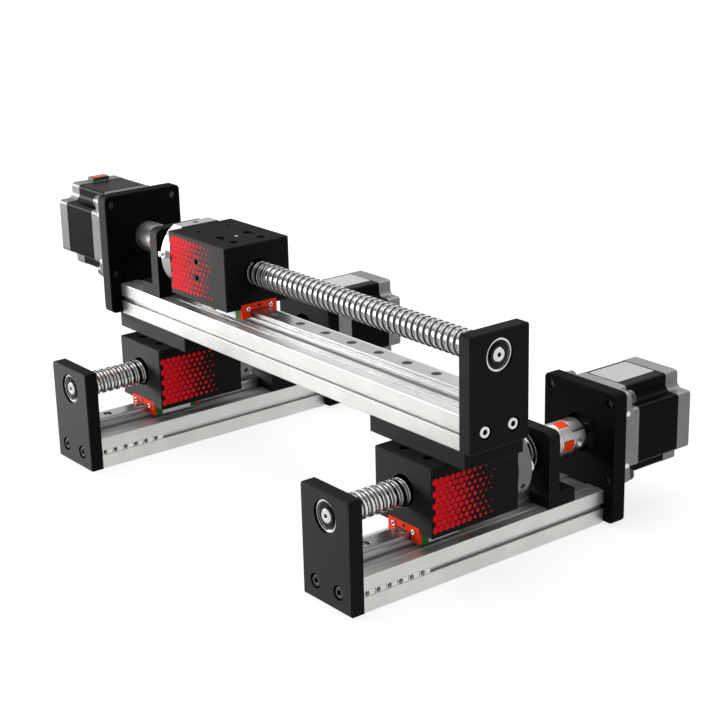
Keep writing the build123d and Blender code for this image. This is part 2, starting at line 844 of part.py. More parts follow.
save("y_ball_nut", placed(cross_stage, ball_nut(upper_carriage_start)))
save("y_guide_block", placed(cross_stage, runner_body(upper_carriage_start)))
save("y_guide_end_caps", placed(cross_stage, runner_caps(upper_carriage_start)))
save("y_guide_end_seals", placed(cross_stage, runner_seals(upper_carriage_start)))
save("y_screw_bearings", placed(cross_stage, screw_bearings(upper)))
save("y_bearing_retainer", placed(cross_stage, bearing_retainer(upper)))
save("y_frame_screws", placed(cross_stage, frame_screws(upper)))
save("y_motor_screws", placed(cross_stage, motor_screws(upper)))
save("y_motor_connector", placed(cross_stage, motor_connector(upper)))
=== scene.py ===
# %% [markdown]
# A motor driven XY stage, dressed around its fixed frame.
#
# Two short stages stand side by side and carry a longer cross stage on their nut blocks. Every
# stage has the same open drive: motor, coupling, ball screw, nut and guide rail. The frame gives
# the exact solids and where they are. This lesson adds what a solid can't say: rolled threads,
# bearings, screws, films and prints, and the finish of each metal and plastic.

# %% Load the frame
import math
import bmesh
import bpy
from mathutils import Matrix, Vector


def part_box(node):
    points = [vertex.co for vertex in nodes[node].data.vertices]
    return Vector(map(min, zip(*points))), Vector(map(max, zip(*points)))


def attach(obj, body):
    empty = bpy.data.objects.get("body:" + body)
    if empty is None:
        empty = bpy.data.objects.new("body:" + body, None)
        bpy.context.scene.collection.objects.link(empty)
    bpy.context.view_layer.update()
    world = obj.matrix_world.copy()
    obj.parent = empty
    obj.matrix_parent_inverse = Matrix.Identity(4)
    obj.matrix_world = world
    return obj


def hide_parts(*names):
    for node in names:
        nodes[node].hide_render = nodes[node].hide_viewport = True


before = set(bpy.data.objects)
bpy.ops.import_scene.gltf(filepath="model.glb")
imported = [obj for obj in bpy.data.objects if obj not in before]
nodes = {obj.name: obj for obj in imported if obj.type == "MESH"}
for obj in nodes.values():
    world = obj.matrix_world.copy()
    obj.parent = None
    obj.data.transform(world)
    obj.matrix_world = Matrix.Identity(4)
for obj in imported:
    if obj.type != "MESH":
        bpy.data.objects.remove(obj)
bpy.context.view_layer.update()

# %% [markdown]
# Each stage is easiest to think of in its own directions: u along it from the end plate, v across
# it and w up from its underside, in millimetres. They start at the stage's own end plate and
# profile, so nothing is fitted by eye: if the frame changes, the added pieces follow it.

# %% Directions of each stage
MM = 0.001
STAGES = ("x_right", "x_left", "y")
GROUND = {"x_right": "base", "x_left": "base", "y": "bridge"}
CARRIAGE = {"x_right": "bridge", "x_left": "bridge", "y": "y_carriage"}


def stage_directions(stage):
    low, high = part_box(stage + "_end_plate")
    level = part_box(stage + "_profile")[0].z
    if stage == "y":
        origin, along, across = ((low.x + high.x) / 2, low.y, level), (0, 1, 0), (-1, 0, 0)
    else:
        origin, along, across = (low.x, (low.y + high.y) / 2, level), (1, 0, 0), (0, 1, 0)
    turned = Matrix((along, across, (0, 0, 1))).transposed().to_4x4()
    return Matrix.Translation(origin) @ turned @ Matrix.Scale(MM, 4)


PLACE = {stage: stage_directions(stage) for stage in STAGES}


def local_box(stage, ending):
    """The box of a stage's node in the stage's own directions, in millimetres."""
    node, back = stage + ending, PLACE[stage].inverted()
    ends = [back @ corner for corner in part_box(node)]
    return [Vector([pick(pair) for pair in zip(*ends)]) for pick in (min, max)]


AXIS_HEIGHT = sum(corner.z for corner in local_box("x_right", "_ball_screw")) / 2
for stage in STAGES:
    low, high = local_box(stage, "_ball_screw")
    print(stage, "screw from", round(low.x, 2), "to", round(high.x, 2), "at", round(AXIS_HEIGHT, 2))

# %% [markdown]
# Materials are small node trees. Short helpers keep them readable: add() makes a node and wires
# its inputs, where a node stands for its first output, and calc() adds a step of arithmetic. A
# group or rule has named inputs, and is built once and used in many places with its own values.

# %% Helpers for node trees
def add(tree, kind, inputs=None, **settings):
    node = tree.nodes.new(kind)
    for name, value in settings.items():
        setattr(node, name, value)
    for key, value in (inputs or {}).items():
        socket = node.inputs[key]
        if isinstance(value, bpy.types.Node):
            value = value.outputs[0]
        if isinstance(value, bpy.types.NodeSocket):
            tree.links.new(value, socket)
        else:
            socket.default_value = value
    return node


def calc(operation, a, b=0.0, c=0.0, clamp=False):
    """Adds a Math node to the tree that its sockets belong to."""
    tree = next(value.id_data for value in (a, b) if isinstance(value, bpy.types.NodeSocket))
    values = {0: a, 1: b, 2: c}
    return add(tree, "ShaderNodeMath", values, operation=operation, use_clamp=clamp).outputs[0]


def new_group(name, ins, outs, kind="ShaderNodeTree"):
    group = bpy.data.node_groups.new(name, kind)
    for label, socket_type, value in ins:
        socket = group.interface.new_socket(label, in_out="INPUT", socket_type=socket_type)
        if value is not None:
            socket.default_value = value
    for label, socket_type in outs:
        group.interface.new_socket(label, in_out="OUTPUT", socket_type=socket_type)
    given = group.nodes.new("NodeGroupInput").outputs
    return group, given, group.nodes.new("NodeGroupOutput").inputs


FLOAT, VECTOR, INTEGER = "NodeSocketFloat", "NodeSocketVector", "NodeSocketInt"
MATERIAL, OBJECT, SHAPE = "NodeSocketMaterial", "NodeSocketObject", "NodeSocketGeometry"


def new_rule(name, ins):
    """A Geometry Nodes tree: its inputs are named, and its one output is a shape."""
    return new_group(name, ins, [("Geometry", SHAPE)], kind="GeometryNodeTree")


def real_with_finish(tree, shape, finish):
    real = add(tree, "GeometryNodeRealizeInstances", {0: shape})
    return add(tree, "GeometryNodeSetMaterial", {"Geometry": real, "Material": finish})


# %% [markdown]
# Machined parts never end in a knife edge: each edge is broken by a file or a cutter, and catches
# a thin line of light. This group rounds the shading normal near an edge and says where the edge
# is, so that a black coat can look thinner there.

# %% Group: softened edges
tree, given, result = new_group(
    "softened_edges", [("Radius", FLOAT, 0.0004)], [("Normal", VECTOR), ("Edge", FLOAT)]
)
rounded = add(tree, "ShaderNodeBevel", {"Radius": given["Radius"]}, samples=4)
flat = add(tree, "ShaderNodeNewGeometry").outputs["True Normal"]
match = add(tree, "ShaderNodeVectorMath", {0: rounded, 1: flat}, operation="DOT_PRODUCT")
bend = calc("SUBTRACT", 1.0, match.outputs["Value"])
edge = calc("MULTIPLY", bend, 6.0, clamp=True)
tree.links.new(rounded.outputs[0], result["Normal"])
tree.links.new(edge, result["Edge"])
EDGES = tree

# %% [markdown]
# Drawn aluminium, ground steel and cast metal differ most in the grain of their surface. One group
# gives a stretched noise: long thin streaks where the tool ran along the piece, or an even
# speckle where it was blasted. The stretch is a scale for each direction, in cycles per metre.

# %% Group: streaks and speckle
tree, given, result = new_group(
    "surface_grain", [("Stretch", VECTOR, (300.0,) * 3), ("Detail", FLOAT, 3.0)], [("Value", FLOAT)]
)
place = add(tree, "ShaderNodeTexCoord").outputs["Object"]
scaled = add(tree, "ShaderNodeVectorMath", {0: place, 1: given["Stretch"]}, operation="MULTIPLY")
noise = add(
    tree, "ShaderNodeTexNoise",
    {"Vector": scaled, "Scale": 1.0, "Detail": given["Detail"], "Roughness": 0.6}
)
tree.links.new(noise.outputs[0], result["Value"])
GRAIN = tree

# %% [markdown]
# A turned piece has fine rings round its axis, which stretch a highlight into a bright fan. The
# rings here are even waves across the piece at a fixed pitch.

# %% Group: turned rings
tree, given, result = new_group(
    "turned_rings", [("Across", VECTOR, (1.0, 0.0, 0.0)), ("Pitch", FLOAT, 0.0006)],
    [("Height", FLOAT)]
)
place = add(tree, "ShaderNodeTexCoord").outputs["Object"]
along = add(tree, "ShaderNodeVectorMath", {0: place, 1: given["Across"]}, operation="DOT_PRODUCT")
turns = calc("DIVIDE", along.outputs["Value"], given["Pitch"])
wave = calc("SINE", calc("MULTIPLY", turns, math.tau))
height = calc("MULTIPLY_ADD", wave, 0.5, 0.5)
tree.links.new(height, result["Height"])
RINGS = tree

# %% [markdown]
# A finish is then one call: the colour, how metallic and how rough it is, the grain and how deep
# it bites, and how wide its edges are broken. The grain changes the roughness a little too, as
# the bottoms of scratches scatter light more than their tops. Handling leaves large faint clouds,
# so a slow noise shifts the colour by a few percent.

# %% The finish builder
BUMP_HEIGHT = 0.0002
CLOUD_SCALE = (38.0,) * 3


def finish(
    name, color, metallic, roughness, stretch=(900.0,) * 3, bite=0.02, spread=0.06, clouds=0.06,
    edge_radius=0.00035, edge_tone=None, edge_share=0.5, rings=None, ring_bite=0.05, specular=0.5
):
    material = bpy.data.materials.new(name)
    material.use_nodes = True
    tree = material.node_tree
    shader = tree.nodes["Principled BSDF"]
    edges = add(tree, "ShaderNodeGroup", {"Radius": edge_radius}, node_tree=EDGES)
    grain = add(tree, "ShaderNodeGroup", {"Stretch": stretch}, node_tree=GRAIN)
    slow = add(tree, "ShaderNodeGroup", {"Stretch": CLOUD_SCALE, "Detail": 2.0}, node_tree=GRAIN)
    dull = calc("MULTIPLY_ADD", grain.outputs[0], 2 * spread, roughness - spread)
    tree.links.new(dull, shader.inputs["Roughness"])
    limits = {"From Min": 0.3, "From Max": 0.7, "To Min": 1.0 - clouds, "To Max": 1.0 + clouds}
    cloud = add(tree, "ShaderNodeMapRange", {"Value": slow, **limits})
    base = add(tree, "ShaderNodeRGB").outputs[0]
    base.default_value = (*color, 1.0)
    tones = {0: base, "Scale": cloud}
    painted = add(tree, "ShaderNodeVectorMath", tones, operation="SCALE").outputs[0]
    if edge_tone is not None:
        share = calc("MULTIPLY", edges.outputs["Edge"], edge_share)
        worn = calc("MULTIPLY", share, grain.outputs[0])
        tones = {"Factor": worn, "A": painted, "B": (edge_tone, edge_tone, edge_tone, 1.0)}
        painted = add(tree, "ShaderNodeMix", tones, data_type="RGBA").outputs["Result"]
    tree.links.new(painted, shader.inputs["Base Color"])

    def bump(height, normal, strength):
        values = {"Height": height, "Normal": normal, "Strength": strength, "Distance": BUMP_HEIGHT}
        return add(tree, "ShaderNodeBump", values).outputs[0]

    normal = edges.outputs["Normal"]
    if rings is not None:
        lines = {"Across": rings[0], "Pitch": rings[1]}
        turned = add(tree, "ShaderNodeGroup", lines, node_tree=RINGS)
        normal = bump(turned.outputs[0], normal, ring_bite)
    tree.links.new(bump(grain.outputs[0], normal, bite), shader.inputs["Normal"])
    shader.inputs["Metallic"].default_value = metallic
    shader.inputs["Specular IOR Level"].default_value = specular
    return material


def metal(name, color, roughness, **more):
    return finish(name, color, 1.0, roughness, **more)


def coat(name, color, roughness, **more):
    return finish(name, color, 0.0, roughness, **more)


# %% [markdown]
# The profile is extruded aluminium with a clear satin anodised skin: the die leaves long streaks
# along it. The rails are ground lengthways too, but tighter and brighter. Turned pieces have rings
# across the stage instead. So the lower stages and the cross stage have a finish each, with lines
# that run their own way, and a tone each where the photograph shows one lighter: that copy is
# painted lighter or darker for the light that falls on its stage, as painted light and shade.

# %% Drawn and ground metals
LINES = {"x_right": (8.0, 2600.0, 2600.0), "y": (2600.0, 8.0, 2600.0)}
TURNS = {"x_right": (1.0, 0.0, 0.0), "y": (0.0, 1.0, 0.0)}


def by_direction(build, name, tones, roughness, drawn=False, pitch=None, **more):
    """The same finish for the lower stages and for the cross stage. tones: a colour for each."""
    made = {}
    for stage, tone in zip(("x_right", "y"), tones):
        lines = {"stretch": LINES[stage]} if drawn else {}
        if pitch:
            lines["rings"] = (TURNS[stage], pitch)
        made[stage] = build(name + "_" + stage, tone, roughness, **more, **lines)
    made["x_left"] = made["x_right"]
    return made


def both(*color):
    return (color, color)


extrusion = by_direction(
    metal, "satin_extrusion", both(0.60, 0.60, 0.585), 0.44, drawn=True, bite=0.14, spread=0.08
)
ground_steel = by_direction(
    metal, "ground_rail_steel", both(0.38, 0.38, 0.39), 0.32, drawn=True, bite=0.05, spread=0.08
)

# %% [markdown]
# The plates and nut blocks are milled and black anodised. The coat is thin, deep black and
# slightly satin, and a little grey shows where an edge was broken. The cutter's fine marks run
# level under the coat, so a plate scatters light up and down more than sideways: the shader gets
# that as a stretched highlight with its long side upright. The motor plates took a deeper black.

# %% Black anodised plates
UPRIGHT = {0: 0.25, 1: 0.15, 2: 0.95}


def anodised(name, color, clouds, specular):
    material = coat(
        name, color, 0.52, stretch=(1500.0,) * 3, bite=0.04, spread=0.05, clouds=clouds,
        edge_tone=0.16, edge_share=0.9, specular=specular
    )
    tree = material.node_tree
    shader = tree.nodes["Principled BSDF"]
    tangent = add(tree, "ShaderNodeCombineXYZ", UPRIGHT)
    tree.links.new(tangent.outputs[0], shader.inputs["Tangent"])
    shader.inputs["Anisotropic"].default_value = 0.9
    return material


black_plate = anodised("black_anodised", (0.0028, 0.0028, 0.0030), clouds=0.12, specular=0.07)
deep_black = anodised("deep_black_anodised", (0.0008, 0.0008, 0.0009), clouds=0.06, specular=0.035)

# %% [markdown]
# The motor's end castings are blasted aluminium, slightly rough and light grey. Between them sits
# a stack of thin steel sheets under black lacquer, whose edges show as very fine rings.

# %% Motor finishes
# painted shade: the cross stage's casting copy is darker than the lower stages', for the light on
# that motor
casting = by_direction(
    metal, "blasted_casting", ((0.170, 0.1734, 0.170), (0.126, 0.12852, 0.126)), 0.48,
    stretch=(1100.0,) * 3, bite=0.16, spread=0.08, edge_radius=0.0006
)
lacquer = by_direction(
    coat, "lacquered_stack", both(0.0010, 0.0010, 0.0012), 0.36, pitch=0.0010, specular=0.03,
    bite=0.04, ring_bite=0.10, edge_radius=0.0006, edge_tone=0.06
)

# %% [markdown]
# Small metal parts: the rolled screw is almost mirror bright, the nut and its flange are ground,
# the coupling is turned aluminium, and screws are either zinc plated or black oxide. The screw,
# the nut and the coupling hub come as a lighter and a darker copy for the two kinds of stage:
# painted light and shade for the light that falls on each.

# %% Small metal parts
# painted light and shade: the lower stages' thread copy is lighter, the cross stage's darker
thread_steel = by_direction(
    metal, "rolled_thread", ((0.64, 0.64, 0.6272), (0.42, 0.42, 0.4116)), 0.12, bite=0.01,
    spread=0.04
)
# painted shade and highlight in the groove: its depth, and how much of the steel's brightness is
# left there
GROOVE_SHADE_AND_HIGHLIGHT = ((0.02, 1.0), (1.0, 0.75), (0.22, 0.13), (0.80, 0.10), (0.95, 0.7))


def paint_groove_shade_and_highlight(material):
    """Paints shade on the flanks of the rolled groove and a lighter highlight line on its floor."""
    tree = material.node_tree
    depth = add(tree, "ShaderNodeAttribute", attribute_name="groove")
    ramp = add(tree, "ShaderNodeValToRGB", {0: depth.outputs["Fac"]})
    stops = ramp.color_ramp.elements
    for stop, (place, tone) in zip(stops, GROOVE_SHADE_AND_HIGHLIGHT):
        stop.position, stop.color = place, (tone, tone, tone, 1.0)
    for place, tone in GROOVE_SHADE_AND_HIGHLIGHT[2:]:
        stops.new(place).color = (tone, tone, tone, 1.0)
    shader = tree.nodes["Principled BSDF"]
    plain = shader.inputs["Base Color"].links[0].from_socket
    tones = {"Factor": 1.0, "A": plain, "B": ramp}
    mixed = add(tree, "ShaderNodeMix", tones, data_type="RGBA", blend_type="MULTIPLY")
    tree.links.new(mixed.outputs["Result"], shader.inputs["Base Color"])


for kind in ("x_right", "y"):
    paint_groove_shade_and_highlight(thread_steel[kind])
turned_steel = by_direction(
    metal, "turned_steel", both(0.62, 0.62, 0.62), 0.22, pitch=0.0004, ring_bite=0.06, bite=0.02
)
# painted light: the cross stage's hub copy is lighter than the lower stages'
hub_metal = by_direction(
    metal, "turned_hub", ((0.66, 0.66, 0.67), (0.78, 0.78, 0.79)), 0.30, pitch=0.0016,
    ring_bite=0.55, bite=0.02
)
# painted light and shade: the lower stages' nuts are a darker copy, the cross stage's nut a lighter
# one
nut_steel_shaded = metal("ground_nut_shaded", (0.13, 0.13, 0.129), 0.34, bite=0.06, spread=0.08)
nut_steel_lit = metal("ground_nut_lit", (0.34, 0.34, 0.335), 0.30, bite=0.06, spread=0.08)
bearing_steel = metal("bearing_ring", (0.64, 0.64, 0.65), 0.18, bite=0.01, spread=0.04)
bright_screw = metal("bright_plated", (0.66, 0.66, 0.65), 0.24, bite=0.05, edge_radius=0.0002)
zinc_screw = metal("zinc_plated", (0.62, 0.62, 0.60), 0.28, bite=0.06, edge_radius=0.0002)
dull_screw = finish("dull_oxide", (0.05, 0.05, 0.052), 0.9, 0.42, bite=0.08, edge_radius=0.0002)
black_screw = finish(
    "black_oxide", (0.018, 0.018, 0.019), 0.2, 0.36, bite=0.06, edge_radius=0.0002, edge_tone=0.15
)
hole_shadow = coat("hole_shadow", (0.006, 0.006, 0.006), 0.5, bite=0.03, specular=0.1)
# painted shade: near-black shield and inner ring stand for the shade in the bearing's recess
bearing_recess_shade = coat("bearing_shield_shade", (0.006, 0.006, 0.006), 0.4, bite=0.04, specular=0.15)
# painted shade for the inside of the motor plate's window
window_shade_ring = coat("window_shade_ring", (0.004, 0.004, 0.004), 0.5, bite=0.05, specular=0.1)

# %% [markdown]
# Plastics: the guide's end caps are moulded green, the wipers in front of them red, and the
# coupling's spider is a slightly waxy orange elastomer. The motor labels are matt paper, and the
# ink of the prints is flat and thick.

# %% Plastics, paper and ink
green_cap = coat(
    "green_moulding", (0.002, 0.15, 0.018), 0.4, specular=0.15, bite=0.03, edge_radius=0.0003
)
red_wiper = coat(
    "red_moulding", (0.88, 0.035, 0.004), 0.45, specular=0.15, bite=0.03, edge_radius=0.0002
)
orange_spider = coat("orange_elastomer", (1.0, 0.055, 0.0), 0.48, specular=0.2, bite=0.03)
black_plastic = coat("black_moulding", (0.014, 0.014, 0.015), 0.45, bite=0.05)
paper_label = coat("paper_label", (0.42, 0.42, 0.41), 0.55, bite=0.03, specular=0.3)
red_ink = coat("red_ink", (0.78, 0.008, 0.016), 0.55, bite=0.02, specular=0.06, clouds=0.03)

# %% [markdown]
# Now each solid of the frame gets its finish. The end of a node's name says what the piece is.

# %% Dress the frame's own solids
FINISHES = {
    "_profile": extrusion, "_rail": ground_steel, "_end_plate": black_plate,
    "_motor_plate": deep_black, "_bearing_bracket": black_plate, "_motor_flange": casting,
    "_motor_stack": lacquer, "_motor_rear_cap": casting, "_motor_shaft": turned_steel,
    "_ball_screw": thread_steel, "_coupling_hubs": hub_metal, "_coupling_spider": orange_spider,
    "_nut_block": black_plate, "_ball_nuts": nut_steel_shaded, "_ball_nut": nut_steel_lit,
    "_guide_blocks": ground_steel, "_guide_block": ground_steel, "_guide_end_caps": green_cap,
    "_guide_end_seals": red_wiper, "_screw_bearings": bearing_steel,
    "_bearing_retainers": black_plate, "_bearing_retainer": black_plate,
    "x_frame_screws": black_screw, "y_frame_screws": zinc_screw, "_motor_screws": black_screw,
    "x_slot_nuts": zinc_screw, "_adapter_plates": black_plate, "_adapter_screws": black_screw,
    "_motor_connector": black_plastic
}


def stage_of(name):
    return "y" if name.startswith("y_") else "x_left" if name.startswith("x_left") else "x_right"


for name, piece in nodes.items():
    ending = max((key for key in FINISHES if name.endswith(key)), key=len)
    chosen = FINISHES[ending]
    if isinstance(chosen, dict):
        chosen = chosen[stage_of(name)]
    piece.data.materials.clear()
    piece.data.materials.append(chosen)
print("dressed", len(nodes), "solids")

# %% [markdown]
# New pieces are drawn in a stage's own millimetres and moved into place in their mesh, so that
# every object sits at the origin. A round piece is a short list of (height, radius) points
# carried round a line, which is the screw's axis unless another one is given.

# %% Helpers for new pieces
ALONG, BACK, UP, DOWN = (1.0, 0.0, 0.0), (-1.0, 0.0, 0.0), (0.0, 0.0, 1.0), (0.0, 0.0, -1.0)


def around(degrees):
    """The cosine and the sine of an angle."""
    return math.cos(math.radians(degrees)), math.sin(math.radians(degrees))


def add_object(name, data):
    piece = bpy.data.objects.new(name, data)
    bpy.context.scene.collection.objects.link(piece)
    return piece


def shade_smooth(mesh, sharp_from=35.0):
    for face in mesh.polygons:
        face.use_smooth = True
    mesh.set_sharp_from_angle(angle=math.radians(sharp_from))


def to_mesh(name, bm):
    mesh = bpy.data.meshes.new(name)
    bm.to_mesh(mesh)
    bm.free()
    return mesh


def to_object(name, bm, stage, materials):
    bmesh.ops.transform(bm, matrix=PLACE[stage], verts=bm.verts)
    bmesh.ops.recalc_face_normals(bm, faces=bm.faces)
    mesh = to_mesh(name, bm)
    shade_smooth(mesh)
    for material in materials:
        mesh.materials.append(material)
    return add_object(name, mesh)


def turn(
    bm, outline, place=(0.0, 0.0, AXIS_HEIGHT), toward=ALONG, segments=48, side=None, closed=False,
    material=0
):
    """Carries (height, radius) points round the line through place that runs toward."""
    toward = Vector(toward).normalized()
    side = Vector(side) if side else toward.orthogonal().normalized()
    other = toward.cross(side)
    rings = []
    for height, radius in outline:
        foot = Vector(place) + height * toward
        angles = [math.tau * step / segments for step in range(segments if radius > 1e-6 else 1)]
        spokes = [radius * (math.cos(angle) * side + math.sin(angle) * other) for angle in angles]
        rings.append([bm.verts.new(foot + spoke) for spoke in spokes])
    joins = list(zip(rings, rings[1:])) + ([(rings[-1], rings[0])] if closed else [])
    for first, second in joins:
        for step in range(segments):
            after = (step + 1) % segments
            corners = [first[step % len(first)], second[step % len(second)]]
            corners += [second[after % len(second)], first[after % len(first)]]
            corners = list(dict.fromkeys(corners))
            if len(corners) > 2:
                bm.faces.new(corners).material_index = material


# %% [markdown]
# The ball screw makes this machine: a hardened bar with a round-bottomed groove rolled into it,
# right-handed, one turn every 5 mm. An image of a thread looks flat at its edge, so Geometry Nodes
# rolls a grid into a tube by a rule: the radius is lower by the groove's depth where the thread's
# phase falls in the groove.

# %% Geometry Nodes: a rolled thread
tree, given, result = new_rule(
    "rolled_thread",
    [
        ("Length", FLOAT, 100.0), ("Radius", FLOAT, 8.0), ("Pitch", FLOAT, 5.0),
        ("Depth", FLOAT, 0.9), ("Groove", FLOAT, 0.33), ("Points along", INTEGER, 200),
        ("Points around", INTEGER, 48), ("Finish", MATERIAL, None)
    ]
)
grid = add(
    tree, "GeometryNodeMeshGrid",
    {
        "Size X": given["Length"], "Size Y": 1.0, "Vertices X": given["Points along"],
        "Vertices Y": given["Points around"]
    }
)
where = add(tree, "ShaderNodeSeparateXYZ", {0: add(tree, "GeometryNodeInputPosition")})
along, share = where.outputs[0], where.outputs[1]
turns = calc("SUBTRACT", calc("DIVIDE", along, given["Pitch"]), share)
phase = calc("FRACT", turns)
across = calc("DIVIDE", calc("SUBTRACT", phase, 0.5), given["Groove"])
bowl = calc("MAXIMUM", calc("SUBTRACT", 1.0, calc("MULTIPLY", across, across)), 0.0)
share_of_depth = calc("POWER", bowl, 0.8)
dip = calc("MULTIPLY", given["Depth"], share_of_depth)
radius = calc("SUBTRACT", given["Radius"], dip)
angle = calc("MULTIPLY", share, math.tau)
rolled = add(
    tree, "ShaderNodeCombineXYZ",
    {
        0: along, 1: calc("MULTIPLY", radius, calc("COSINE", angle)),
        2: calc("MULTIPLY", radius, calc("SINE", angle))
    }
)
noted = add(
    tree, "GeometryNodeStoreNamedAttribute",
    {"Geometry": grid, "Name": "groove", "Value": share_of_depth}, data_type="FLOAT", domain="POINT"
)
moved = add(tree, "GeometryNodeSetPosition", {"Geometry": noted, "Position": rolled})
closed = add(tree, "GeometryNodeMergeByDistance", {"Geometry": moved, "Distance": 0.001})
painted = real_with_finish(tree, closed, given["Finish"])
tree.links.new(painted.outputs[0], result[0])
THREAD = tree


def run_tree(tree, mesh, values):
    """Gives a mesh to a tree with these inputs and returns the plain mesh that comes out."""
    host = add_object("host", mesh)
    modifier = host.modifiers.new("rule", "NODES")
    modifier.node_group = tree
    for item in tree.interface.items_tree:
        if item.in_out == "INPUT" and item.name in values:
            modifier[item.identifier] = values[item.name]
    host.update_tag()
    graph = bpy.context.evaluated_depsgraph_get()
    made = bpy.data.meshes.new_from_object(host.evaluated_get(graph), depsgraph=graph)
    bpy.data.objects.remove(host)
    return made
THREAD_PITCH = 5.0
SCREW_RADIUS = 8.0
RETAINER = 2.0
GAP = 0.3

# %% [markdown]
# The bar goes on past the thread: a short collar and a thinner neck that runs through the fixed
# bearing into the coupling, and a neck into the support bearing, whose end has a chamfer and the
# small cone that the lathe's centre left. These are turned outlines on the same axis.

# %% Ball screws
for stage in STAGES:
    low, high = local_box(stage, "_ball_screw")
    thread_start = local_box(stage, "_end_plate")[1].x + GAP
    bracket_face = local_box(stage, "_bearing_bracket")[0].x
    thread_end = bracket_face - RETAINER - GAP
    length = thread_end - thread_start
    values = {
        "Length": length, "Radius": SCREW_RADIUS, "Pitch": THREAD_PITCH, "Depth": 0.95,
        "Groove": 0.36, "Points along": int(length / THREAD_PITCH * 20) + 1, "Points around": 57,
        "Finish": thread_steel[stage]
    }
    thread = run_tree(THREAD, bpy.data.meshes.new("seed"), values)
    bm = bmesh.new()
    bm.from_mesh(thread)
    bmesh.ops.translate(bm, verts=bm.verts, vec=((thread_start + thread_end) / 2, 0, AXIS_HEIGHT))
    bmesh.ops.holes_fill(bm, edges=[edge for edge in bm.edges if edge.is_boundary])
    for face in bm.faces:
        face.material_index = 0
    neck = [
        (low.x + 0.2, 1.25), (low.x, 1.45), (low.x, 3.5), (low.x + 0.5, 4.0),
        (thread_start + 1.0, 4.0), (thread_start + 1.0, 0.0)
    ]
    tail = [
        (thread_end - 1.0, 0.0), (thread_end - 1.0, 5.5), (bracket_face - GAP / 2, 5.5),
        (bracket_face - GAP / 2, 4.0), (high.x - 0.4, 4.0), (high.x, 3.6), (high.x, 0.0)
    ]
    centre_hole = [(low.x + 3.2, 0.0), (low.x + 2.4, 1.25), (low.x + 0.2, 1.25)]
    for outline, material in ((centre_hole, 2), (neck, 1), (tail, 1)):
        turn(bm, outline, segments=40, material=material)
    finishes = [thread_steel[stage], turned_steel[stage], hole_shadow]
    screw = to_object(stage + "_threaded_screw", bm, stage, finishes)
    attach(screw, stage + "_screw")
    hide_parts(stage + "_ball_screw")
    print(stage, "thread", round(length, 1), "mm,", len(screw.data.polygons), "faces")

# %% [markdown]
# A deep-groove bearing shows its outer ring, its inner ring and, between them, a thin metal
# shield that sits a little lower. The frame has it as one solid with a groove. Here each bearing
# is turned again with broken edges, and the shield and the inner ring get a near-black finish that
# paints the shade inside the bearing's recess.

# %% Bearings
BEARINGS = {"support": (9.5, 6.0), "fixed": (11.0, 7.0)}
NECK_RADIUS = 4.05
RING_WALL = 1.6


def bearing_rings(bm, start, radius, width):
    """Each outline is half of a ring's section, as (inset from the face, radius)."""
    inner, hub = radius - RING_WALL, NECK_RADIUS + RING_WALL
    outer_ring = [(0.5, inner), (0.0, inner + 0.15), (0.0, radius - 0.4), (0.4, radius)]
    inner_ring = [(0.2, NECK_RADIUS), (0.0, NECK_RADIUS + 0.2), (0.0, hub - 0.15), (0.4, hub)]
    shield = [(1.3, hub - 0.2), (1.1, hub + 0.9), (1.1, inner - 0.5), (1.3, inner + 0.2)]
    for half, material in ((outer_ring, 0), (inner_ring, 1), (shield, 1)):
        outline = [(start + inset, reach) for inset, reach in half]
        outline += [(start + width - inset, reach) for inset, reach in reversed(half)]
        turn(bm, outline, closed=True, material=material)


for stages, node in ((("x_right", "x_left"), "x_screw_bearings"), (("y",), "y_screw_bearings")):
    parts = []
    for stage in stages:
        bm = bmesh.new()
        bearing_rings(bm, 1.0, *BEARINGS["support"])
        bearing_rings(bm, local_box(stage, "_bearing_bracket")[0].x, *BEARINGS["fixed"])
        parts.append(to_object(stage + "_bearing_rings", bm, stage, [bearing_steel, bearing_recess_shade]))
    for part in parts:
        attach(part, GROUND[stages[0]])
        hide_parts(node)
print("bearings turned")

# %% [markdown]
# Every socket screw here has the same make: a round head with a turned chamfer, a hexagon socket
# and a plain shank. One screw of each size is modelled, each place is one point that also knows
# which way the head looks, and Geometry Nodes puts a screw on each point.

# %% One socket screw
RING_POINTS = 18


def screw_ring(bm, z, radius, hexagon=False):
    points = []
    for step in range(RING_POINTS):
        degrees, reach = 360.0 * step / RING_POINTS, radius
        if hexagon:
            reach /= around((degrees + 30.0) % 60.0 - 30.0)[0]
        cosine, sine = around(degrees)
        points.append(bm.verts.new((reach * cosine, reach * sine, z)))
    return points


def socket_screw(name, head_radius, head_height, shank_radius, shank_length, socket):
    """Stands on z = 0 with the head above and the shank below, in millimetres."""
    bm = bmesh.new()
    recess = bm.faces.layers.bool.new("recess")
    half, top = socket / 2, head_height
    outline = [
        (-shank_length, shank_radius - 0.3), (0.3 - shank_length, shank_radius),
        (0.0, shank_radius), (0.0, head_radius - 0.15), (0.2, head_radius),
        (top - 0.45, head_radius), (top, head_radius - 0.45)
    ]
    rings = [screw_ring(bm, z, radius) for z, radius in outline]
    for z, reach in ((top, half + 0.25), (top - 0.2, half), (0.45 * top, half)):
        rings.append(screw_ring(bm, z, reach, hexagon=True))
    for number, (low, high) in enumerate(zip(rings, rings[1:])):
        for step in range(RING_POINTS):
            after = (step + 1) % RING_POINTS
            face = bm.faces.new((low[step], low[after], high[after], high[step]))
            face[recess] = number > len(outline)
    bm.faces.new(reversed(rings[0]))
    bm.faces.new(rings[-1])[recess] = True
    mesh = to_mesh(name, bm)
    shade_smooth(mesh)
    return bpy.data.objects.new(name, mesh)


